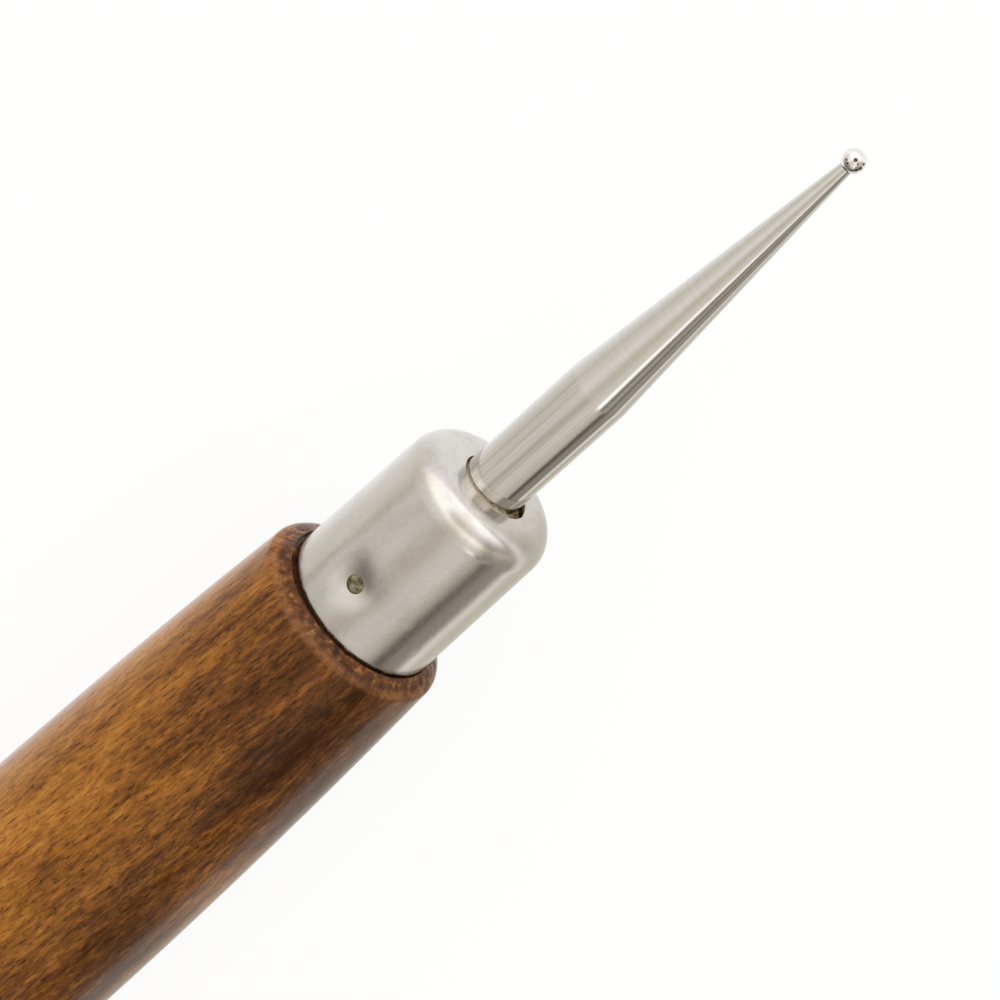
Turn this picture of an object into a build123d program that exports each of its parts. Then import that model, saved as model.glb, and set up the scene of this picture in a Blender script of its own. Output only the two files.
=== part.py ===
"""Ball embossing stylus with a turned hardwood handle, in millimetres.

The stylus lies along X with its working ball towards +X and +Z up. The origin is on the handle's axis, at
the middle of its belly, where the tool is held. The handle, the shank and the ball are turned about the X
axis. The ferrule, the tenon in it and the cement sit a little off it.
"""

import math
import os

from build123d import *

# Working ball and shank
ball_diameter = 1.4
neck_diameter = 0.8
cone_length = 20.1
shank_diameter = 4.0
cylinder_length = 9.0
shank_edge_radius = 0.15
shank_seat_depth = 0.15
tang_diameter = 2.8
tang_length = 30.0
tang_point_chamfer = 0.6

# Ferrule
ferrule_length = 12.15
ferrule_front_diameter = 10.02
ferrule_back_diameter = 10.44
ferrule_wall = 0.45
ferrule_corner_radius = 1.9
ferrule_hole_diameter = 4.56
ferrule_hole_shift_y = -0.165
ferrule_shift_y = -0.115
ferrule_shift_z = -0.135

# Dent in the ferrule's side, with the pin sunk in it
dent_setback = 8.65
dent_angle = 21.0
dent_diameter = 2.8
dent_depth = 0.25
pin_hole_diameter = 1.15
pin_diameter = 1.0
pin_length = 2.6
pin_sink = 0.3
pin_dome_radius = 0.2
pin_point_length = 0.6

# Handle
handle_length = 100.0
handle_front_diameter = 12.95
handle_belly_diameter = 16.15
belly_setback = 46.0
handle_rear_diameter = 13.6
butt_length = 8.0
butt_fullness_share = 0.6
rim_setback = 0.55
rim_radius = 0.35
groove_width = 0.25
groove_depth = 0.3
tenon_end_chamfer = 0.4

# Cement and fits
cement_thickness = 1.5
tenon_clearance = 0.05
tang_clearance = 0.05
tang_end_clearance = 0.3
pin_clearance = 0.02
cement_clearance = 0.02

# Radii
ball_radius = ball_diameter / 2
neck_radius = neck_diameter / 2
shank_radius = shank_diameter / 2
tang_radius = tang_diameter / 2
ferrule_front_radius = ferrule_front_diameter / 2
ferrule_back_radius = ferrule_back_diameter / 2
ferrule_hole_radius = ferrule_hole_diameter / 2
inner_corner_radius = ferrule_corner_radius - ferrule_wall
dent_radius = dent_diameter / 2
dent_ball_radius = (dent_radius**2 + dent_depth**2) / (2 * dent_depth)
pin_radius = pin_diameter / 2
pin_hole_radius = pin_hole_diameter / 2
handle_front_radius = handle_front_diameter / 2
handle_belly_radius = handle_belly_diameter / 2
handle_rear_radius = handle_rear_diameter / 2
groove_radius = ferrule_back_radius + groove_width

# Stations along X, from the belly forward to the ball and back to the butt
belly_x = 0
base_x = belly_x + belly_setback
rim_x = base_x - rim_setback
groove_x = base_x - groove_depth
face_x = groove_x + ferrule_length
shoulder_x = face_x + cylinder_length
ball_x = shoulder_x + cone_length
neck_x = ball_x - math.sqrt(ball_radius**2 - neck_radius**2)
inner_face_x = face_x - ferrule_wall
shank_end_x = face_x - shank_seat_depth
corner_x = face_x - ferrule_corner_radius
tenon_end_x = inner_face_x - cement_thickness
tang_end_x = shank_end_x - tang_length
bore_end_x = tang_end_x - tang_end_clearance
dent_x = face_x - dent_setback
butt_x = base_x - handle_length
rear_x = butt_x + butt_length

# The ferrule widens evenly from its front corner to its base, which sits on the groove's floor
ferrule_flare = (ferrule_back_radius - ferrule_front_radius) / (corner_x - groove_x)


def ferrule_radius(x):
    """Outer radius of the ferrule's straight wall at a station."""
    return ferrule_front_radius + ferrule_flare * (corner_x - x)


# Axes and the planes that the profiles are drawn on
along = (1, 0, 0)
ferrule_axis = Axis((0, ferrule_shift_y, ferrule_shift_z), along)
ferrule_plane = Plane(origin=ferrule_axis.position, x_dir=along, z_dir=(0, -1, 0))
hole_plane = Plane(origin=(face_x, ferrule_hole_shift_y, 0), z_dir=(-1, 0, 0))
tang_bore_plane = Plane(origin=(tenon_end_x, 0, 0), z_dir=(-1, 0, 0))

dent_turn = math.radians(dent_angle)
dent_plane = Plane(
    origin=(dent_x, ferrule_shift_y, ferrule_shift_z),
    x_dir=along,
    z_dir=(0, math.sin(dent_turn), math.cos(dent_turn)),
)
dent_axis = Axis(dent_plane.origin, dent_plane.z_dir)
dent_surface_radius = ferrule_radius(dent_x)
pin_top_radius = dent_surface_radius - pin_sink
pin_foot_radius = pin_top_radius - pin_length

os.makedirs("parts", exist_ok=True)

# Polished ball, with a small flat where it joins the neck
with BuildPart() as ball_tip:
    with Locations((ball_x, 0, 0)):
        Sphere(ball_radius)
    split(bisect_by=Plane(origin=(neck_x, 0, 0), z_dir=along), keep=Keep.TOP)
ball_tip.part.label = "ball_tip"
export_step(ball_tip.part, "parts/ball_tip.step")

# Turned rod: long cone, crisp shoulder, short cylinder, then the thinner tang
with BuildPart() as shank:
    with BuildSketch(Plane.XZ):
        with BuildLine():
            Polyline(
                (neck_x, 0),
                (neck_x, neck_radius),
                (shoulder_x, shank_radius),
                (shank_end_x, shank_radius),
                (shank_end_x, tang_radius),
                (tang_end_x, tang_radius),
                (tang_end_x, 0),
                close=True,
            )
        make_face()
    revolve(axis=Axis.X)
    widest_rims = shank.edges().filter_by(GeomType.CIRCLE).group_by(SortBy.RADIUS)[-1]
    fillet(widest_rims.sort_by(Axis.X)[0], shank_edge_radius)
    rear_rim = shank.edges().filter_by(GeomType.CIRCLE).sort_by(Axis.X)[0]
    chamfer(rear_rim, tang_point_chamfer)
shank.part.label = "shank"
export_step(shank.part, "parts/shank.step")

# Drawn cap: flared wall, rounded corner, hole in its face, dent in its side
with BuildPart() as ferrule:
    with BuildSketch(ferrule_plane):
        with BuildLine():
            outer_wall = Line((groove_x, ferrule_back_radius), (corner_x, ferrule_front_radius))
            outer_corner = RadiusArc(
                outer_wall @ 1,
                (face_x, ferrule_front_radius - ferrule_corner_radius),
                ferrule_corner_radius,
            )
            outer_face = Line(outer_corner @ 1, (face_x, 0))
            thickness = Line(outer_face @ 1, (inner_face_x, 0))
            inner_face = Line(thickness @ 1, (inner_face_x, ferrule_front_radius - ferrule_corner_radius))
            inner_corner = RadiusArc(
                inner_face @ 1,
                (corner_x, ferrule_front_radius - ferrule_wall),
                -inner_corner_radius,
            )
            inner_wall = Line(inner_corner @ 1, (groove_x, ferrule_back_radius - ferrule_wall))
            Line(inner_wall @ 1, outer_wall @ 0)
        make_face()
    revolve(axis=ferrule_axis)
    with BuildSketch(hole_plane):
        Circle(ferrule_hole_radius)
    extrude(amount=ferrule_wall, mode=Mode.SUBTRACT)
    with Locations(dent_plane.offset(dent_surface_radius - dent_depth + dent_ball_radius)):
        Sphere(dent_ball_radius, mode=Mode.SUBTRACT)
    with BuildSketch(dent_plane):
        Circle(pin_hole_radius)
    extrude(amount=dent_surface_radius, mode=Mode.SUBTRACT)
ferrule.part.label = "ferrule"
export_step(ferrule.part, "parts/ferrule.step")

# Brad that holds the ferrule to the tenon, its end sunk below the dent
with BuildPart() as ferrule_pin:
    with BuildSketch(dent_plane.offset(pin_foot_radius + pin_point_length)):
        Circle(pin_radius)
    extrude(amount=pin_length - pin_point_length)
    fillet(ferrule_pin.edges().sort_by(dent_axis)[-1], pin_dome_radius)
    with Locations(dent_plane.offset(pin_foot_radius + pin_point_length / 2)):
        Cone(0, pin_radius, pin_point_length)
ferrule_pin.part.label = "ferrule_pin"
export_step(ferrule_pin.part, "parts/ferrule_pin.step")

# Turned handle: swelling body, rounded butt, sloping end round a groove, tenon for the ferrule, bores for
# the tang and the pin
with BuildPart() as handle:
    with BuildSketch(Plane.XZ) as body_profile:
        with BuildLine():
            front = Polyline(
                (groove_x, 0),
                (groove_x, groove_radius),
                (base_x, groove_radius),
                (rim_x, handle_front_radius),
            )
            TangentArc((belly_x, handle_belly_radius), front @ 1, tangent=(1, 0))
            taper = TangentArc(
                (belly_x, handle_belly_radius), (rear_x, handle_rear_radius), tangent=(-1, 0)
            )
            butt = Bezier(
                taper @ 1,
                taper @ 1 + (taper % 1) * butt_length * butt_fullness_share,
                (butt_x, handle_rear_radius * butt_fullness_share),
                (butt_x, 0),
            )
            Line(butt @ 1, front @ 0)
        make_face()
        fillet(body_profile.vertices().sort_by_distance(front @ 1)[0], rim_radius)
    revolve(axis=Axis.X)
    with BuildSketch(ferrule_plane):
        with BuildLine():
            tenon_inset = ferrule_wall + tenon_clearance
            Polyline(
                (groove_x, 0),
                (groove_x, ferrule_back_radius - tenon_inset),
                (tenon_end_x, ferrule_radius(tenon_end_x) - tenon_inset),
                (tenon_end_x, 0),
                close=True,
            )
        make_face()
    revolve(axis=ferrule_axis)
    tenon_rim = handle.edges().filter_by(GeomType.CIRCLE).sort_by(Axis.X)[-1]
    chamfer(tenon_rim, tenon_end_chamfer)
    with BuildSketch(tang_bore_plane):
        Circle(tang_radius + tang_clearance)
    extrude(amount=tenon_end_x - bore_end_x, mode=Mode.SUBTRACT)
    with BuildSketch(dent_plane.offset(pin_foot_radius)):
        Circle(pin_radius + pin_clearance)
    extrude(amount=dent_surface_radius - pin_foot_radius, mode=Mode.SUBTRACT)
handle.part.label = "handle"
export_step(handle.part, "parts/handle.step")

# Set cement round the tang, between the tenon's end and the ferrule's face and up into the face's hole, where
# the shank's foot sits on it
with BuildPart() as tang_cement:
    with BuildSketch(ferrule_plane):
        with BuildLine():
            cement_inset = ferrule_wall + cement_clearance
            Polyline(
                (tenon_end_x, 0),
                (tenon_end_x, ferrule_radius(tenon_end_x) - cement_inset),
                (inner_face_x, ferrule_front_radius - cement_inset),
                (inner_face_x, 0),
                close=True,
            )
        make_face()
    revolve(axis=ferrule_axis)
    cement_rim = tang_cement.edges().filter_by(GeomType.CIRCLE).sort_by(Axis.X)[-1]
    fillet(cement_rim, inner_corner_radius)
    with BuildSketch(hole_plane.offset(shank_seat_depth)):
        Circle(ferrule_hole_radius - cement_clearance)
    extrude(amount=ferrule_wall - shank_seat_depth)
    with BuildSketch(tang_bore_plane):
        Circle(tang_radius)
    extrude(amount=tenon_end_x - shank_end_x, mode=Mode.SUBTRACT)
tang_cement.part.label = "tang_cement"
export_step(tang_cement.part, "parts/tang_cement.step")
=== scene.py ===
"""Dressed embossing stylus: turned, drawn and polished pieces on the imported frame, in metres."""

import math

import bpy
import numpy as np
from mathutils import Matrix, Vector, noise


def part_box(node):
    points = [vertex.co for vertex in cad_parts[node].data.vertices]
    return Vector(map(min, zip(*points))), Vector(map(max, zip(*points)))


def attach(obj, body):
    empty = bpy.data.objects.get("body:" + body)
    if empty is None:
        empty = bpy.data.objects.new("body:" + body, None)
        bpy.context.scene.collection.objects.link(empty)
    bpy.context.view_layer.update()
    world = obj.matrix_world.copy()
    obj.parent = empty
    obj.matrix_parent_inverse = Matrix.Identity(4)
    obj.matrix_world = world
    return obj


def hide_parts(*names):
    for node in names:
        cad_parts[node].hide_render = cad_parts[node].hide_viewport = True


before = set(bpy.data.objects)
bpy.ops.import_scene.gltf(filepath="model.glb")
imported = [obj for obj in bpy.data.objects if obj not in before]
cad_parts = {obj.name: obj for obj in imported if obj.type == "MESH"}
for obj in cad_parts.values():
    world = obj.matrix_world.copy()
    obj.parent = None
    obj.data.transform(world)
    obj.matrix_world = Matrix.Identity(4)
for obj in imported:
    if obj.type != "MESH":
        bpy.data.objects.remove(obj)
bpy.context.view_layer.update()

# Sizes that the frame gives
ball_low, ball_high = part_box("ball_tip")
shank_low, shank_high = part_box("shank")
ferrule_low, ferrule_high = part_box("ferrule")
handle_low, handle_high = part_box("handle")
cement_low, cement_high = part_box("tang_cement")

ball_radius = (ball_high.y - ball_low.y) / 2
ball_centre = Vector((ball_high.x - ball_radius, 0, 0))
shank_radius = (shank_high.y - shank_low.y) / 2
neck_x = shank_high.x
ferrule_back_radius = (ferrule_high.y - ferrule_low.y) / 2
ferrule_line = np.array([(ferrule_high.y + ferrule_low.y) / 2, (ferrule_high.z + ferrule_low.z) / 2])
face_x = ferrule_high.x
groove_x = ferrule_low.x
belly_radius = (handle_high.y - handle_low.y) / 2
butt_x = handle_low.x
tenon_end_x = handle_high.x
floor_z = handle_low.z
cement_low_x = cement_low.x
cement_high_x = cement_high.x

# Sizes of the ball and the shank
neck_radius = 0.0004
cone_length = 0.0201
shank_edge_radius = 0.00004
shoulder_round = 0.0001
shoulder_drop = shoulder_round / 20
tang_radius = 0.0014
tang_point = 0.0006
shoulder_x = ball_centre.x - cone_length

# Dark spots of painted reflection on the ball: the way each one faces and its size
painted_ball_reflections = [
    ((0.45, 0.06, 0.89), 0.00013), ((-0.07, 0.55, 0.83), 0.00008), ((-0.17, 0.31, 0.94), 0.00008),
    ((-0.09, -0.57, 0.81), 0.00011), ((0.19, -0.71, 0.68), 0.00013), ((0.56, -0.65, 0.52), 0.0001),
    ((0.35, -0.26, 0.90), 0.00006),
]

# Sizes of the ferrule, its dent with a fainter press beside it, and its pin
front_radius = 0.00501
wall = 0.00045
corner_radius = 0.0019
corner_x = face_x - corner_radius
hole_radius = 0.00223
hole_line = np.array([-0.000165, 0])
hole_lip = 0.00006
base_lip = 0.0001
dent_setback = 0.00865
dent_turn = math.radians(21)
dent_reach = 0.00115
dent_depth = 0.0004
press_shift = (0.0011, 0.0008, 0)
press_reach = 0.0008
press_depth = 0.00007
pin_hole_radius = 0.000575
pin_radius = 0.00056
pin_sink = 0.00034
pin_length = 0.0026
pin_point = 0.0006
pin_dome = 0.00006
pin_tip_radius = pin_radius / 20
pin_flat_radius = pin_radius / 4

# Sizes of the cement and of the lumps and pits in its collar, which sags towards one side
cement_clearance = 0.00002
cement_slump = 0.00035
cement_rise = 0.00011
lump_size = 0.0005
lump_share = 0.5
pit_size = 0.00012
pit_share = 0.25
sag_share = 0.5

# Sizes of the handle
handle_front_radius = 0.006475
handle_rear_radius = 0.0068
butt_length = 0.008
butt_fullness_share = 0.6
rim_setback = 0.00055
rim_radius = 0.00035
front_reach = 8 * rim_radius
groove_width = 0.00016
groove_depth = 0.0003
tenon_clearance = 0.00005
groove_radius = ferrule_back_radius + groove_width
base_x = groove_x + groove_depth
rim_x = base_x - rim_setback
rear_x = butt_x + butt_length

# Chips along the handle's rim
chip_size = 0.0008
grit_size = 0.0003
grit_share = 0.3
chip_level = 0.1
chip_depth = 0.00012

dent_x = face_x - dent_setback
dent_way = Vector((0, math.sin(dent_turn), math.cos(dent_turn)))
ferrule_origin = Vector((0, *ferrule_line))

# Points round each piece, and the angle over which an edge is sharp
ball_points = 96
shank_points = 160
ferrule_points = 360
pin_points = 64
cement_points = 200
handle_points = 360
sharp_angle = math.radians(50)

# Steps along the profiles of the ball and the shank. The ball's last ring is a degree from its pole.
ball_steps = 64
ball_pole_turn = 1
tang_steps = 12
foot_steps = 3
foot_edge_steps = 9
cylinder_steps = 40
cone_steps = 90

# Steps along the profile of the ferrule, from its base round to its inside
flare_steps = 110
corner_steps = 44
face_steps = 12
lip_steps = 6
hole_steps = 3
inner_face_steps = 6
inner_corner_steps = 16
inner_wall_steps = 60

# Steps along the profiles of the pin and the cement
pin_side_steps = 6
pin_dome_steps = 10
pin_flat_steps = 5
cement_side_steps = 3
cement_corner_steps = 12
cement_shoulder_steps = 6
collar_side_steps = 2
collar_steps = 12

# Steps along the profile of the handle. The butt's first ring is a small share of its curve from its pole.
butt_start = 0.02
butt_steps = 40
body_steps = 170
front_steps = 30
rim_steps = 9
slope_steps = 12
groove_steps = 4
tenon_steps = 60
tenon_end_steps = 4


def arc(centre_x, centre_r, radius, start, end, count):
    """Points (x, r) on an arc, angles in degrees from +X towards +r."""
    turns = np.radians(np.linspace(start, end, count))
    return [(centre_x + radius * math.cos(a), centre_r + radius * math.sin(a)) for a in turns]


def straight(start, end, count):
    """Evenly spaced points after start, up to and with end."""
    return [tuple(p) for p in np.linspace(start, end, count + 1)[1:]]


def rings(stations, line, segments):
    """Rings of points round lines along X: stations are (x, r), line is one (y, z) or one for each ring."""
    turns = np.linspace(0, 2 * math.pi, segments, endpoint=False)
    stations = np.array(stations, float)
    line = np.broadcast_to(np.array(line, float), (len(stations), 2))
    points = np.zeros((len(stations), segments, 3))
    points[:, :, 0] = stations[:, :1]
    points[:, :, 1] = line[:, :1] + stations[:, 1:] * np.sin(turns)
    points[:, :, 2] = line[:, 1:] + stations[:, 1:] * np.cos(turns)
    return points


def ring_mesh(name, points, closed=False):
    """Piece made of rings of points, capped at both ends or closed back to its first ring."""
    count, segments = points.shape[:2]
    index = np.arange(count * segments).reshape(count, segments)
    here = np.arange(segments)
    after = (here + 1) % segments
    faces = []
    for i in range(count if closed else count - 1):
        j = (i + 1) % count
        faces += np.stack([index[i, here], index[i, after], index[j, after], index[j, here]], 1).tolist()
    vertices = points.reshape(-1, 3).tolist()
    if not closed:
        for ring, order in ((0, -1), (count - 1, 1)):
            middle = len(vertices)
            vertices.append(points[ring].mean(0).tolist())
            pairs = zip(index[ring, here].tolist(), index[ring, after].tolist())
            faces += [[a, b, middle][::order] for a, b in pairs]
    mesh = bpy.data.meshes.new(name)
    mesh.from_pydata(vertices, [], faces)
    mesh.update()
    piece = bpy.data.objects.new(name, mesh)
    bpy.context.scene.collection.objects.link(piece)
    return piece


def dress(piece, node, material):
    """Gives a piece its finish and its place in the assembly."""
    piece.data.shade_smooth()
    piece.data.set_sharp_from_angle(angle=sharp_angle)
    piece.data.materials.clear()
    piece.data.materials.append(material)
    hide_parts(node)
    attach(piece, "root")


def cone_radius(x):
    """Radius of the shank's cone."""
    share = (x - shoulder_x) / (neck_x - shoulder_x)
    return shank_radius + (neck_radius - shank_radius) * share


def ferrule_radius(x):
    """Outer radius of the ferrule's flared wall."""
    return front_radius + (ferrule_back_radius - front_radius) * (corner_x - x) / (corner_x - groove_x)


def handle_radius(x):
    """Radius of the handle's body: two arcs that meet at the belly."""
    front, rear = (rim_x, handle_front_radius), (rear_x, handle_rear_radius)
    end_x, end_radius = front if x > 0 else rear
    drop = belly_radius - end_radius
    arc_radius = (end_x**2 + drop**2) / (2 * drop)
    return belly_radius - arc_radius + math.sqrt(arc_radius**2 - x**2)


def push_dent(points):
    """Presses the dent and the press beside it into points of the ferrule or of the tenon under it."""
    middle = np.array(ferrule_origin + Vector((dent_x, 0, 0)) + dent_way * ferrule_radius(dent_x))
    presses = (((0, 0, 0), dent_reach, dent_depth), (press_shift, press_reach, press_depth))
    depth = 0
    for shift, reach, drop in presses:
        away = np.linalg.norm(points - middle - np.array(shift), axis=2)
        depth = depth + drop * np.exp(-((away / reach) ** 2))
    return points - depth[:, :, None] * np.array(dent_way)


def make_ball(material):
    """Polished ball with the small flat where it meets the neck."""
    flat_turn = 180 - math.degrees(math.asin(neck_radius / ball_radius))
    stations = arc(ball_centre.x, 0, ball_radius, flat_turn, ball_pole_turn, ball_steps)
    piece = ring_mesh("ball_tip_polished", rings(stations, (0, 0), ball_points))
    dress(piece, "ball_tip", material)


def make_shank(material):
    """Turned cone, crisp shoulder, cylinder with a rounded foot and the hidden tang."""
    foot_x = cement_high_x
    edge_x = foot_x + shank_edge_radius
    edge_centre_radius = shank_radius - shank_edge_radius
    stations = [(shank_low.x, tang_radius - tang_point), (shank_low.x + tang_point, tang_radius)]
    stations += straight(stations[-1], (foot_x, tang_radius), tang_steps)
    stations += straight(stations[-1], (foot_x, edge_centre_radius), foot_steps)
    stations += arc(edge_x, edge_centre_radius, shank_edge_radius, 180, 90, foot_edge_steps)[1:]
    stations += straight(stations[-1], (shoulder_x - shoulder_round, shank_radius), cylinder_steps)
    cone_x = shoulder_x + shoulder_round
    stations += straight((shoulder_x, shank_radius - shoulder_drop), (cone_x, cone_radius(cone_x)), 1)
    stations += straight(stations[-1], (neck_x, neck_radius), cone_steps)
    piece = ring_mesh("shank_turned", rings(stations, (0, 0), shank_points))
    dress(piece, "shank", material)


def ferrule_rings():
    """Rings of the drawn cap, from its base over its face, through its hole and back inside."""
    flat_radius = front_radius - corner_radius
    lip_radius = hole_radius + hole_lip
    stations = [(groove_x, ferrule_back_radius - base_lip), (groove_x + base_lip, ferrule_back_radius)]
    stations += straight(stations[-1], (corner_x, front_radius), flare_steps)
    stations += arc(corner_x, flat_radius, corner_radius, 90, 0, corner_steps)[1:]
    stations += straight(stations[-1], (face_x, lip_radius), face_steps)
    stations += arc(face_x - hole_lip, lip_radius, hole_lip, 90, 180, lip_steps)[1:]
    stations += straight(stations[-1], (face_x - wall, hole_radius), hole_steps)
    stations += straight(stations[-1], (face_x - wall, flat_radius), inner_face_steps)
    stations += arc(corner_x, flat_radius, corner_radius - wall, 0, 90, inner_corner_steps)[1:]
    stations += straight(stations[-1], (groove_x, ferrule_back_radius - wall), inner_wall_steps)
    radii = np.array(stations)[:, 1:]
    reach = np.clip((flat_radius - radii) / (flat_radius - lip_radius), 0, 1)
    lines = ferrule_line + (hole_line - ferrule_line) * reach
    return rings(stations, lines, ferrule_points)


def make_ferrule(material):
    """Drawn cap with its dent and the hole for the pin."""
    piece = ring_mesh("ferrule_drawn", push_dent(ferrule_rings()), closed=True)
    bpy.ops.mesh.primitive_cylinder_add(vertices=pin_points, radius=pin_hole_radius, depth=front_radius)
    cutter = bpy.context.object
    place = ferrule_origin + Vector((dent_x, 0, 0)) + dent_way * front_radius
    turn = dent_way.to_track_quat("Z", "X").to_matrix().to_4x4()
    cutter.matrix_world = Matrix.Translation(place) @ turn
    hole = piece.modifiers.new("pin_hole", "BOOLEAN")
    hole.operation = "DIFFERENCE"
    hole.solver = "EXACT"
    hole.object = cutter
    bpy.context.view_layer.update()
    cut = bpy.data.meshes.new_from_object(piece.evaluated_get(bpy.context.evaluated_depsgraph_get()))
    piece.modifiers.clear()
    piece.data = cut
    bpy.data.objects.remove(cutter)
    dress(piece, "ferrule", material)


def make_pin(material):
    """Brad with a domed end, sunk in the dent."""
    top = ferrule_radius(dent_x) - pin_sink
    stations = [(top - pin_length, pin_tip_radius), (top - pin_length + pin_point, pin_radius)]
    stations += straight(stations[-1], (top - pin_dome, pin_radius), pin_side_steps)
    stations += arc(top - pin_dome, pin_radius - pin_dome, pin_dome, 90, 0, pin_dome_steps)[1:]
    stations += straight(stations[-1], (top, pin_flat_radius), pin_flat_steps)
    points = rings(stations, (0, 0), pin_points)
    turned = dent_way.to_track_quat("X", "Z").to_matrix()
    points = points @ np.array(turned).T + np.array(ferrule_origin + Vector((dent_x, 0, 0)))
    dress(ring_mesh("ferrule_pin_domed", points), "ferrule_pin", material)


def make_cement(material):
    """Set cement behind the ferrule's face, with an uneven collar that fills its hole round the shank."""
    outer = front_radius - wall - cement_clearance
    inner_face_x = face_x - wall
    collar_radius = hole_radius - cement_clearance
    stations = [(cement_low_x, tang_radius), (cement_low_x, outer)]
    stations += straight(stations[-1], (corner_x, outer), cement_side_steps)
    corner = arc(corner_x, outer - corner_radius + wall, corner_radius - wall, 90, 0, cement_corner_steps)
    stations += corner[1:]
    body = len(stations)
    stations += straight(stations[-1], (inner_face_x, collar_radius), cement_shoulder_steps)
    stations += straight(stations[-1], (cement_high_x, collar_radius), collar_side_steps)
    surface = len(stations)
    stations += straight(stations[-1], (cement_high_x, shank_radius), collar_steps)
    surface_end = len(stations)
    stations.append((cement_high_x, tang_radius))
    lines = np.zeros((len(stations), 2))
    lines[:body] = ferrule_line
    lines[body:surface] = hole_line
    lines[surface:surface_end] = hole_line * np.linspace(1, 0, collar_steps)[:, None]
    points = rings(stations, lines, cement_points)
    for ring in points[surface - 1 : surface_end]:
        for point in ring:
            slump = noise.noise(Vector(point) / lump_size) * lump_share
            slump += noise.noise(Vector(point) / pit_size) * pit_share
            slump += sag_share - sag_share * (point[1] + point[2]) / hole_radius
            point[0] += cement_rise - max(slump, 0) * cement_slump
    dress(ring_mesh("tang_cement_set", points, closed=True), "tang_cement", material)


def handle_stations():
    """Stations of the handle up to its tenon: butt, body, rim, sloping end and groove."""
    slope = (handle_radius(rear_x + rim_radius) - handle_radius(rear_x)) / rim_radius
    full = butt_length * butt_fullness_share
    hull = np.array(
        [
            (butt_x, 0),
            (butt_x, handle_rear_radius * butt_fullness_share),
            (rear_x - full, handle_rear_radius - full * slope),
            (rear_x, handle_rear_radius),
        ]
    )
    stations = []
    for t in np.linspace(butt_start, 1, butt_steps):
        weights = [(1 - t) ** 3, 3 * t * (1 - t) ** 2, 3 * t * t * (1 - t), t**3]
        stations.append(tuple(np.dot(weights, hull)))
    front_x = rim_x - front_reach
    spans = ((rear_x, front_x, body_steps), (front_x, rim_x - rim_radius, front_steps))
    for start_x, end_x, steps in spans:
        stations += [(x, handle_radius(x)) for x in np.linspace(start_x, end_x, steps)[1:]]
    corner = np.array((rim_x, handle_front_radius))
    start = np.array(stations[-1])
    end = corner + (np.array((base_x, groove_radius)) - corner) * rim_radius / rim_setback
    for t in np.linspace(0, 1, rim_steps)[1:]:
        stations.append(tuple((1 - t) ** 2 * start + 2 * t * (1 - t) * corner + t * t * end))
    stations += straight(stations[-1], (base_x, groove_radius), slope_steps)
    stations += straight(stations[-1], (groove_x, groove_radius), groove_steps)
    return stations


def make_handle(material):
    """Turned handle with chips along its rim and the tenon for the ferrule."""
    stations = handle_stations()
    body = rings(stations, (0, 0), handle_points)
    for ring, (x, _) in zip(body, stations):
        if x < rim_x - rim_radius:
            continue
        for point in ring:
            chip = noise.noise(Vector(point) / chip_size)
            chip += grit_share * noise.noise(Vector(point) / grit_size)
            point[0] -= max(chip - chip_level, 0) * chip_depth
    tenon_inset = wall + tenon_clearance
    back = (groove_x, ferrule_back_radius - tenon_inset)
    front = (tenon_end_x, ferrule_radius(tenon_end_x) - tenon_inset)
    tenon = [back] + straight(back, front, tenon_steps)
    tenon += straight(front, (tenon_end_x, tang_radius), tenon_end_steps)
    points = np.concatenate([body, push_dent(rings(tenon, ferrule_line, handle_points))])
    dress(ring_mesh("handle_turned", points), "handle", material)


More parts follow.
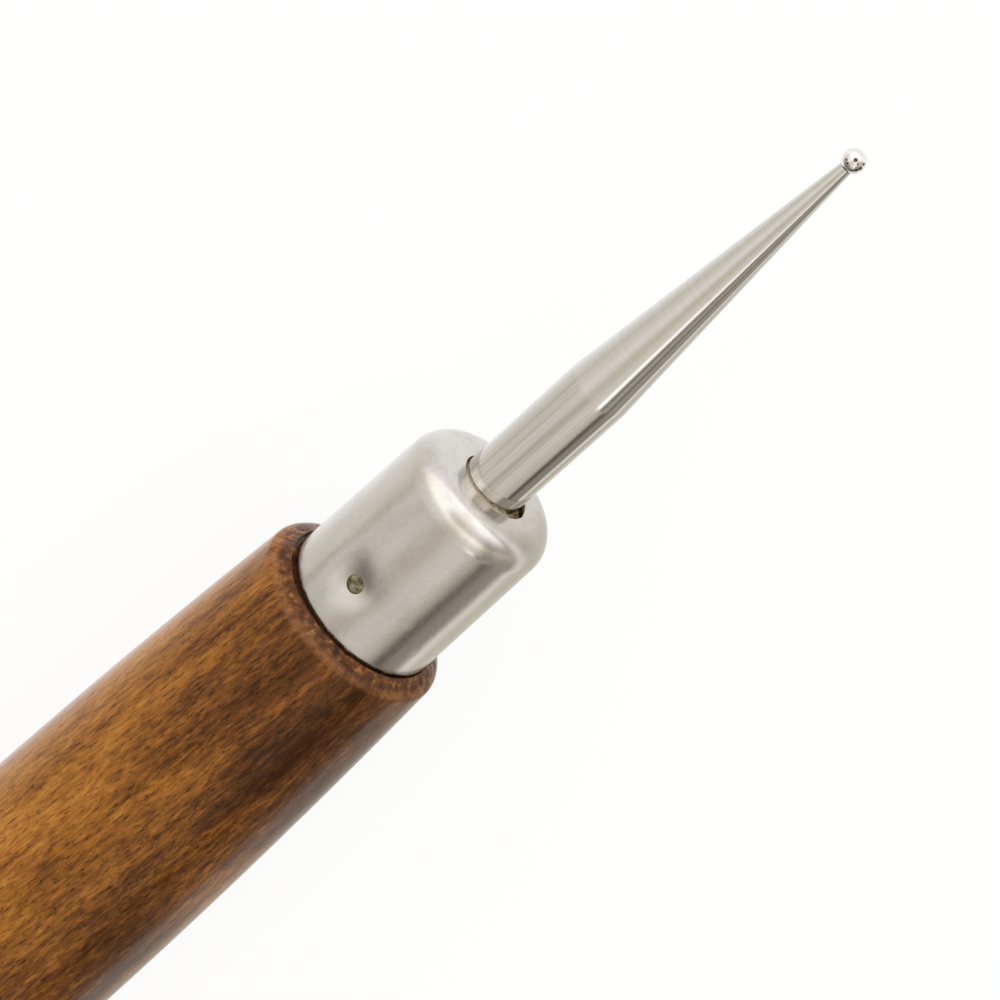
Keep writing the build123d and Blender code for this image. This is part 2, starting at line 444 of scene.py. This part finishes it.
class Tree:
    """Builds a shader's nodes: each method after feed adds a node or a few and gives what comes out."""

    def __init__(self, owner):
        owner.use_nodes = True
        self.nodes = owner.node_tree.nodes
        self.links = owner.node_tree.links

    def feed(self, socket, value):
        """Links an output to a socket, or sets the socket's own value; None leaves it alone."""
        if isinstance(value, bpy.types.NodeSocket):
            self.links.new(value, socket)
        elif value is not None:
            socket.default_value = value

    def add(self, kind, *values, **settings):
        """Adds a node, sets its settings and feeds its inputs in order."""
        node = self.nodes.new(kind)
        for name, value in settings.items():
            setattr(node, name, value)
        for socket, value in zip(node.inputs, values):
            self.feed(socket, value)
        return node

    def math(self, operation, *values):
        """Arithmetic on values."""
        return self.add("ShaderNodeMath", *values, operation=operation).outputs[0]

    def vector(self, operation, *values):
        """Arithmetic on vectors."""
        return self.add("ShaderNodeVectorMath", *values, operation=operation).outputs[0]

    def parts(self, vector):
        """The three parts of a vector."""
        return self.add("ShaderNodeSeparateXYZ", vector).outputs

    def turn(self, vector, axis, degrees):
        """Turns a position about an axis."""
        node = self.add("ShaderNodeVectorRotate", vector)
        node.inputs["Axis"].default_value = axis
        node.inputs["Angle"].default_value = math.radians(degrees)
        return node.outputs[0]

    def noise(self, vector, sizes, detail, roughness):
        """Noise whose features have these sizes along X, Y and Z."""
        place = self.vector("MULTIPLY", vector, tuple(1 / size for size in sizes))
        node = self.add("ShaderNodeTexNoise", place)
        node.inputs["Scale"].default_value = 1
        node.inputs["Detail"].default_value = detail
        node.inputs["Roughness"].default_value = roughness
        return node.outputs[0]

    def spread(self, value, low, high, to_low=0.0, to_high=1.0):
        """Maps a value from one range to another, clamped."""
        return self.add("ShaderNodeMapRange", value, low, high, to_low, to_high).outputs[0]

    def total(self, *terms):
        """Sum of values, each with its weight."""
        result = 0.0
        for value, weight in terms:
            result = self.math("MULTIPLY_ADD", value, weight, result)
        return result

    def blend(self, share, first, second):
        """Mixes two colours."""
        node = self.add("ShaderNodeMix", data_type="RGBA")
        self.feed(node.inputs[0], share)
        self.feed(node.inputs[6], first)
        self.feed(node.inputs[7], second)
        return node.outputs[2]

    def ramp(self, value, stops):
        """Colour ramp with its stops as (place, colour)."""
        node = self.add("ShaderNodeValToRGB", value)
        points = node.color_ramp.elements
        for i, (place, colour) in enumerate(stops):
            point = points[i] if i < 2 else points.new(place)
            point.position = place
            point.color = colour
        return node.outputs[0]

    def bump(self, height, distance, strength, normal=None):
        """Normal of a surface that a height raises, over another normal if one is given."""
        node = self.add("ShaderNodeBump")
        node.inputs["Strength"].default_value = strength
        node.inputs["Distance"].default_value = distance
        self.feed(node.inputs["Height"], height)
        self.feed(node.inputs["Normal"], normal)
        return node.outputs[0]


def grey(level):
    """A grey colour."""
    return (level, level, level, 1)


def new_material(name, **values):
    """Principled material with plain values on its sockets: gives it, its tree and its inputs."""
    material = bpy.data.materials.new(name)
    tree = Tree(material)
    inputs = tree.nodes["Principled BSDF"].inputs
    for key, value in values.items():
        inputs[key.replace("_", " ")].default_value = value
    return material, tree, inputs


def position(tree):
    """Position on the piece, in metres in the part's frame."""
    return tree.add("ShaderNodeTexCoord").outputs["Object"]


# In the finishes below, a grain is the sizes of a noise's features along X, Y and Z, its detail and its
# roughness. A relief is a height and its strength. A tone is a colour, and a list of tones gives each one's
# place on a scale from 0 to 1. A span is the part of a noise's scale that is spread out, and this is the
# span that most of its values fill.
noise_span = (0.3, 0.7)

# Finish of the ball, and the reach of the core and of the edge of a painted reflection spot, in sizes of
# the spot
haze_grain = ((0.0002, 0.0002, 0.0002), 3, 0.5)
spot_core = 0.6
spot_edge = 1.3
painted_reflection_tone = (0.11, 0.07, 0.06, 1)
polished_tone = (0.85, 0.84, 0.83, 1)
polished_roughness = (0.03, 0.08)


def polished_steel():
    """Mirror polished steel of the ball, with small dark spots of painted reflection."""
    material, tree, inputs = new_material("polished_steel", Metallic=1)
    place = position(tree)
    free_of_painted_reflection = 1.0
    # Each spot is a dark reflection painted into the ball's colour
    for way, size in painted_ball_reflections:
        spot = ball_centre + Vector(way).normalized() * ball_radius
        away = tree.add("ShaderNodeVectorMath", place, tuple(spot), operation="DISTANCE").outputs["Value"]
        free_of_painted_reflection = tree.math("MULTIPLY", free_of_painted_reflection, tree.spread(away, size * spot_core, size * spot_edge))
    haze = tree.noise(place, *haze_grain)
    # Inside each spot the steel's colour darkens to the painted reflection tone
    tree.feed(inputs["Base Color"], tree.blend(free_of_painted_reflection, painted_reflection_tone, polished_tone))
    tree.feed(inputs["Roughness"], tree.spread(haze, *noise_span, *polished_roughness))
    return material


# Finish of the shank
rod_grain = ((0.012, 0.00016, 0.00016), 4, 0.6)
rod_tones = [(0.32, (0.57, 0.545, 0.515, 1)), (0.68, (0.71, 0.69, 0.66, 1))]
cone_grain = ((0.00006, 0.003, 0.003), 4, 0.65)
cone_tones = [(0.32, (0.63, 0.61, 0.59, 1)), (0.68, (0.7, 0.68, 0.66, 1))]
cone_blur = 0.00004
turned_roughness = (0.06, 0.11)
turned_relief = (0.0000008, 0.6)


def turned_steel():
    """Drawn rod with lengthwise streaks, and fine turning marks on its cone."""
    material, tree, inputs = new_material("turned_steel", Metallic=1)
    place = position(tree)
    cone = tree.spread(tree.parts(place)[0], shoulder_x - cone_blur, shoulder_x + cone_blur)
    streak = tree.noise(place, *rod_grain)
    mark = tree.noise(place, *cone_grain)
    grain = tree.add("ShaderNodeMix", cone, None, streak, mark).outputs[0]
    tone = tree.blend(cone, tree.ramp(grain, rod_tones), tree.ramp(grain, cone_tones))
    tree.feed(inputs["Base Color"], tone)
    tree.feed(inputs["Roughness"], tree.spread(grain, *noise_span, *turned_roughness))
    tree.feed(inputs["Normal"], tree.bump(grain, *turned_relief))
    return material


# Finish of the ferrule
cloud_grain = ((0.004, 0.0016, 0.0016), 4, 0.55)
cloud_share = 0.6
cloud_relief = (0.00003, 0.4)
speck_grain = ((0.00035, 0.0002, 0.0002), 4, 0.65)
speck_share = 0.4
nickel_tones = [(0.34, (0.59, 0.565, 0.535, 1)), (0.66, (0.69, 0.67, 0.645, 1))]
nickel_roughness = (0.17, 0.24)
smudge_grain = ((0.0009, 0.0012, 0.0012), 3, 0.6)
smudge_span = (0.54, 0.68)
smudge_setback = 0.0011
smudge_share = 0.3
smudge_tone = (0.45, 0.41, 0.37, 1)
ding_grain = ((0.0013, 0.0011, 0.0011), 1, 0.4)
ding_span = (0.62, 0.74)
ding_relief = (-0.00002, 0.25)


def satin_nickel():
    """Satin nickel plate: cloudy tone, fine mottling, soft dings and faint smudges near its hole."""
    material, tree, inputs = new_material("satin_nickel", Metallic=1)
    place = position(tree)
    cloud = tree.noise(place, *cloud_grain)
    speck = tree.noise(place, *speck_grain)
    tone = tree.ramp(tree.total((cloud, cloud_share), (speck, speck_share)), nickel_tones)
    smudge = tree.spread(tree.noise(place, *smudge_grain), *smudge_span)
    near = tree.spread(tree.parts(place)[0], face_x - smudge_setback, face_x)
    stain = tree.math("MULTIPLY", tree.math("MULTIPLY", smudge, near), smudge_share)
    tree.feed(inputs["Base Color"], tree.blend(stain, tone, smudge_tone))
    tree.feed(inputs["Roughness"], tree.spread(speck, *noise_span, *nickel_roughness))
    ding = tree.spread(tree.noise(place, *ding_grain), *ding_span)
    tree.feed(inputs["Normal"], tree.bump(ding, *ding_relief, tree.bump(cloud, *cloud_relief)))
    return material


# Finish of the pin
pit_grain = ((0.00035, 0.00035, 0.00035), 4, 0.5)
pit_relief = (0.00005, 1.0)
brass_tones = [
    (0.34, (0.06, 0.045, 0.025, 1)), (0.5, (0.17, 0.145, 0.085, 1)), (0.68, (0.36, 0.35, 0.2, 1)),
]


def pin_brass():
    """Tarnished brad end: olive brown, with dark pits and a bright rub."""
    material, tree, inputs = new_material("pin_brass", Metallic=0.4, Roughness=0.45)
    pit = tree.noise(position(tree), *pit_grain)
    tree.feed(inputs["Base Color"], tree.ramp(pit, brass_tones))
    tree.feed(inputs["Normal"], tree.bump(pit, *pit_relief))
    return material


# Finish of the cement, with painted light that makes its upper part paler
amber_grain = ((0.0002, 0.0002, 0.0002), 4, 0.5)
amber_relief = (0.00004, 1.0)
amber_tones = [
    (0.3, (0.05, 0.03, 0.01, 1)), (0.48, (0.16, 0.1, 0.03, 1)), (0.64, (0.42, 0.31, 0.09, 1)),
]
painted_light_tone = (0.5, 0.42, 0.3, 1)
painted_light_z = (0.0001, 0.0013)


def amber_cement():
    """Set adhesive: olive brown, glossy and uneven, and paler towards its top as painted light."""
    material, tree, inputs = new_material("amber_cement", Roughness=0.35)
    place = position(tree)
    blotch = tree.noise(place, *amber_grain)
    # Painted light: the colour turns paler towards +Z, where the cement is lit
    painted_light_upper = tree.spread(tree.parts(place)[2], *painted_light_z)
    tree.feed(inputs["Base Color"], tree.blend(painted_light_upper, tree.ramp(blotch, amber_tones), painted_light_tone))
    tree.feed(inputs["Normal"], tree.bump(blotch, *amber_relief))
    return material


# Grain of the handle's wood, which leans a few degrees from the axis and wanders
wood_lean = 3
wander_grain = ((0.007, 0.002, 0.002), 2, 0.5)
wander_reach = (0, 0.0008, 0.0008)
fibre_grain = ((0.0016, 0.0003, 0.0003), 8, 0.7)
fleck_grain = ((0.0009, 0.00015, 0.00015), 5, 0.7)
fleck_relief = (0.000004, 0.5)
band_grain = ((0.02, 0.0016, 0.0016), 3, 0.6)
patch_grain = ((0.012, 0.004, 0.004), 2, 0.5)
wave_grain = ((0.003, 0.001, 0.001), 3, 0.5)
wave_relief = (0.00002, 0.5)

# Depth of the stain: the share of each grain, of the dark front, the dark side, which is partly stain and
# partly painted shade, and the pale edge, which is painted light, and where these lie
patch_share = 0.6
band_share = 0.6
fibre_share = 1.05
front_dark_share = 0.15
front_dark_x = (0.027, 0.036)
front_dark_y = (0.0065, 0.003)
# Dark side: partly stain, partly painted shade on the -Y side
side_stain_and_shade_share = 0.14
side_stain_and_shade_y = (0.001, -0.003)
# Pale edge: painted light along the +Y edge
painted_light_edge_share = -0.11
painted_light_edge_y = (0.003, 0.0065)
stain_offset = -0.5

# Tones of the wood, its dark flecks, its worn rim and its front end, and where the last two fade in
wood_tones = [
    (0.36, (0.54, 0.235, 0.042, 1)), (0.56, (0.36, 0.135, 0.021, 1)),
    (0.78, (0.15, 0.052, 0.01, 1)), (1.0, (0.052, 0.015, 0.002, 1)),
]
fleck_tone = (0.032, 0.01, 0.002, 1)
fleck_span = (0.54, 0.62)
fleck_depth = (0.4, 0.9)
fleck_share = (0.5, 0.95)
end_grain = ((0.0009, 0.0006, 0.0006), 4, 0.7)
end_tones = [
    (0.36, (0.045, 0.015, 0.004, 1)), (0.54, (0.14, 0.048, 0.013, 1)), (0.71, (0.38, 0.18, 0.06, 1)),
]
end_fade_x = (rim_x + 0.25 * rim_radius, rim_x + 0.7 * rim_radius)
worn_span = (0.4, 0.65)
worn_dark_tone = (0.13, 0.05, 0.022, 1)
worn_pale_tone = (0.42, 0.18, 0.06, 1)
worn_fade_x = (rim_x - 0.9 * rim_radius, rim_x - 0.1 * rim_radius)
worn_share = (0, 0.5)


def wood_depth(tree, place, lean):
    """How dark the wood is at a place: streaked, darker at the front, darker on the -Y side partly as stain
    and partly as painted shade, and lighter on the +Y edge as painted light.
    """
    fibre = tree.noise(lean, *fibre_grain)
    band = tree.noise(lean, *band_grain)
    patch = tree.noise(lean, *patch_grain)
    along, across, _ = tree.parts(place)
    front = tree.math("MULTIPLY", tree.spread(along, *front_dark_x), tree.spread(across, *front_dark_y))
    # Darker on the -Y side: partly stain, partly painted shade
    side = tree.spread(across, *side_stain_and_shade_y)
    # Lighter along the +Y edge: painted light
    painted_light_edge = tree.spread(across, *painted_light_edge_y)
    return tree.total(
        (patch, patch_share), (band, band_share), (fibre, fibre_share), (front, front_dark_share),
        (side, side_stain_and_shade_share), (painted_light_edge, painted_light_edge_share), (1.0, stain_offset),
    )


def stained_wood():
    """Streaked golden wood under walnut stain and lacquer, worn on its rim and rough at its front end, with
    painted shade on its -Y side and painted light along its +Y edge.
    """
    material, tree, inputs = new_material(
        "stained_wood", Specular_IOR_Level=0.05, Coat_Weight=1, Coat_IOR=1.24, Coat_Roughness=0.15,
        Sheen_Weight=0.22, Sheen_Roughness=0.25, Roughness=0.55,
    )
    place = position(tree)
    wander = tree.noise(place, *wander_grain)
    lean = tree.vector("MULTIPLY_ADD", wander, wander_reach, tree.turn(place, (0, 0, 1), wood_lean))
    depth = wood_depth(tree, place, lean)
    fleck = tree.noise(lean, *fleck_grain)
    dark = tree.spread(fleck, *fleck_span)
    dark = tree.math("MULTIPLY", dark, tree.spread(depth, *fleck_depth, *fleck_share))
    tone = tree.blend(dark, tree.ramp(depth, wood_tones), fleck_tone)
    chip = tree.noise(place, *end_grain)
    crest = tree.blend(tree.spread(chip, *worn_span), worn_dark_tone, worn_pale_tone)
    along = tree.parts(place)[0]
    tone = tree.blend(tree.spread(along, *worn_fade_x, *worn_share), tone, crest)
    tone = tree.blend(tree.spread(along, *end_fade_x), tone, tree.ramp(chip, end_tones))
    tree.feed(inputs["Base Color"], tone)
    wave = tree.bump(tree.noise(place, *wave_grain), *wave_relief)
    tree.feed(inputs["Normal"], tree.bump(fleck, *fleck_relief, wave))
    return material


# Camera fitted to the outline of the tool, for an image 1000 pixels across
image_px = 1000
focal_px = 3200
ball_px = (853.9, 160.85)
ball_depth = 0.17022
sensor_width = 36
camera_lean = math.radians(27.86)
camera_turn = math.radians(41.85)
camera_roll = math.radians(7)


def make_camera():
    """Camera that sees the ball at its place in the image and the handle running out at the lower left."""
    lean_c, lean_s = math.cos(camera_lean), math.sin(camera_lean)
    turn_c, turn_s = math.cos(camera_turn), math.sin(camera_turn)
    roll = Matrix.Rotation(-camera_roll, 3, "X")
    right = roll @ Vector((lean_c * turn_c, -turn_s, -lean_s * turn_c))
    up = roll @ Vector((lean_c * turn_s, turn_c, -lean_s * turn_s))
    back = roll @ Vector((lean_s, 0, lean_c))
    across = (ball_px[0] - image_px / 2) / focal_px * ball_depth
    rise = (image_px / 2 - ball_px[1]) / focal_px * ball_depth
    lens = bpy.data.cameras.new("camera")
    lens.sensor_width = sensor_width
    lens.lens = focal_px / image_px * sensor_width
    lens.clip_start = ball_depth / image_px
    lens.clip_end = ball_depth * image_px
    camera = bpy.data.objects.new("camera", lens)
    camera.matrix_world = Matrix((right, up, back)).transposed().to_4x4()
    camera.location = ball_centre - right * across - up * rise + back * ball_depth
    bpy.context.scene.collection.objects.link(camera)
    bpy.context.scene.camera = camera


# How far dim light turns warm, and how much green and blue it loses
warmth_most = 0.36
green_loss = 0.18
blue_loss = 0.55


def studio(level):
    """Light of a brightness, a little warmer where it is dim."""
    warmth = min(max(1 - level, 0), warmth_most)
    return (level, level * (1 - green_loss * warmth), level * (1 - blue_loss * warmth), 1)


# Half the floor's side, and its brightness to the camera, as ground for the shadow and as a lit surface
floor_half = 2.0
floor_seen = 0.92
floor_shadow = 0.1
floor_paint = 0.85

# Brightness of the floor in reflections, from -Y to +Y: beside the tool and ahead of it
floor_fade_reach = 0.12
floor_near = [
    (0, 0.25), (0.21, 0.47), (0.3, 0.92), (0.36, 0.9), (0.4, 0.63), (0.44, 0.6), (0.47, 0.74), (0.5, 1.0),
    (0.53, 1.0), (0.57, 0.85), (0.69, 0.77), (1, 0.72),
]
floor_far = [
    (0, 0.45), (0.2, 0.6), (0.33, 1.0), (0.44, 1.0), (0.47, 0.92), (0.54, 0.92), (0.61, 1.0), (1, 1.0),
]
floor_far_x = (face_x + 0.014, face_x + 0.034)


def make_floor():
    """Wide white floor under the handle, which keeps a faint shadow."""
    ways = ((-1, -1), (1, -1), (1, 1), (-1, 1))
    corners = [(x * floor_half, y * floor_half, floor_z) for x, y in ways]
    mesh = bpy.data.meshes.new("floor")
    mesh.from_pydata(corners, [], [(0, 1, 2, 3)])
    floor = bpy.data.objects.new("floor", mesh)
    bpy.context.scene.collection.objects.link(floor)
    material = bpy.data.materials.new("floor")
    tree = Tree(material)
    tree.nodes.clear()
    path = tree.add("ShaderNodeLightPath").outputs
    seen = tree.math("MAXIMUM", path["Is Camera Ray"], path["Is Glossy Ray"])
    seen = tree.math("MAXIMUM", seen, path["Is Transmission Ray"])
    along, across, _ = tree.parts(tree.add("ShaderNodeTexCoord").outputs["Object"])
    side = tree.spread(across, -floor_fade_reach, floor_fade_reach)
    near, far = (
        tree.ramp(side, [(place, studio(level)) for place, level in stops])
        for stops in (floor_near, floor_far)
    )
    fade = tree.blend(tree.spread(along, *floor_far_x), near, far)
    fade = tree.blend(path["Is Camera Ray"], fade, grey(floor_seen))
    glow = tree.add("ShaderNodeEmission", fade, 1.0).outputs[0]
    faint = tree.add("ShaderNodeBsdfDiffuse", grey(floor_shadow)).outputs[0]
    shown = tree.add("ShaderNodeAddShader", glow, faint).outputs[0]
    paint = tree.add("ShaderNodeBsdfDiffuse", grey(floor_paint)).outputs[0]
    mixed = tree.add("ShaderNodeMixShader", seen, paint, shown).outputs[0]
    tree.add("ShaderNodeOutputMaterial", mixed)
    mesh.materials.append(material)


# Brightness of the studio round the tool's axis, by degrees from overhead towards -Y: behind the tool,
# above it, where a lamp stands before the dark gap, over its front and ahead of it
studio_behind = [
    (-180, 0.76), (-130, 0.72), (-105, 0.68), (-93, 0.66), (-86, 0.68), (-79, 0.75), (-72, 0.86),
    (-62, 0.8), (-50, 0.75), (-40, 0.82), (-30, 0.8), (-20, 0.7), (-8, 0.65), (0, 0.7), (10, 0.8),
    (20, 0.82), (30, 0.77), (42, 0.74), (50, 0.7), (56, 0.55), (61, 0.17), (69, 0.14), (74, 0.3),
    (80, 0.34), (86, 0.36), (91, 0.27), (110, 0.6),
]
studio_above = [
    (-180, 0.78), (-86, 0.72), (-60, 0.8), (-42, 0.88), (-33, 0.85), (-24, 0.74), (-16, 0.64), (-7, 0.61),
    (2, 0.65), (12, 0.71), (21, 0.74), (29, 0.82), (33, 1.4), (38, 1.4), (42, 0.75), (46, 0.28),
    (49, 0.2), (52, 0.27), (56, 0.42), (61, 0.42), (64, 0.38), (68, 0.22), (72, 0.2), (78, 0.36),
    (90, 0.36), (110, 0.7),
]
studio_over = [
    (-180, 0.78), (-86, 0.72), (-60, 0.8), (-42, 0.92), (-33, 0.92), (-24, 0.82), (-16, 0.68), (-7, 0.6),
    (2, 0.65), (12, 0.71), (21, 0.74), (26, 0.8), (37, 0.76), (42, 0.64), (47, 0.38), (56, 0.28),
    (68, 0.36), (80, 0.34), (90, 0.34), (110, 0.7),
]
studio_ahead = [
    (-180, 0.95), (-20, 0.95), (0, 0.8), (25, 0.85), (45, 1.0), (84, 1.1), (96, 0.9), (110, 0.6),
]

# Brightness of the studio along the tool, by the X part of the direction: on most sides and on the left
studio_along = [
    (-1, 0.1), (-0.79, 0.2), (-0.467, 0.5), (-0.3, 0.59), (-0.12, 0.57), (0.1, 0.66), (0.25, 0.84),
    (0.32, 1.0), (0.42, 0.94), (0.5, 0.7), (0.62, 0.54), (0.75, 0.6), (0.88, 0.76), (0.97, 0.84),
    (1, 0.84),
]
studio_along_left = [
    (-1, 0.1), (-0.79, 0.2), (-0.467, 0.5), (-0.3, 0.54), (-0.12, 0.55), (0.1, 0.57), (0.22, 0.64),
    (0.32, 0.8), (0.45, 0.98), (0.6, 0.95), (0.75, 0.85), (0.88, 0.79), (0.97, 0.92), (1, 0.92),
]
studio_left = (-32, -20)

# Strength of the studio's light, and where along the tool each part of it gives way to the next
studio_strength = 2
studio_above_x = (-0.44, -0.32)
studio_over_x = (-0.28, -0.13)
studio_ahead_x = (0.52, 0.8)


def make_world():
    """Studio: white for the camera, bright cards, lamps and a dark gap for the object."""
    world = bpy.data.worlds.new("studio")
    tree = Tree(world)
    x, y, z = tree.parts(tree.add("ShaderNodeTexCoord").outputs["Generated"])
    round_axis = tree.math("DEGREES", tree.math("ARCTAN2", tree.math("MULTIPLY", y, -1.0), z))
    place = tree.spread(round_axis, -180, 180)
    behind, above, over, ahead = (
        tree.ramp(place, [((a + 180) / 360, studio(level)) for a, level in stops])
        for stops in (studio_behind, studio_above, studio_over, studio_ahead)
    )
    panel = tree.blend(tree.spread(x, *studio_above_x), behind, above)
    panel = tree.blend(tree.spread(x, *studio_over_x), panel, over)
    panel = tree.blend(tree.spread(x, *studio_ahead_x), panel, ahead)
    left, right = (
        tree.ramp(tree.spread(x, -1, 1), [((a + 1) / 2, grey(level)) for a, level in stops])
        for stops in (studio_along_left, studio_along)
    )
    along = tree.blend(tree.spread(round_axis, *studio_left), left, right)
    light = tree.vector("MULTIPLY", panel, along)
    path = tree.add("ShaderNodeLightPath").outputs
    background = tree.nodes["Background"]
    tree.feed(background.inputs[0], tree.blend(path["Is Camera Ray"], light, grey(1 / studio_strength)))
    background.inputs[1].default_value = studio_strength
    bpy.context.scene.world = world


make_camera()
make_ball(polished_steel())
make_shank(turned_steel())
make_ferrule(satin_nickel())
make_pin(pin_brass())
make_cement(amber_cement())
make_handle(stained_wood())
make_floor()
make_world()
bpy.context.scene.view_settings.view_transform = "Standard"
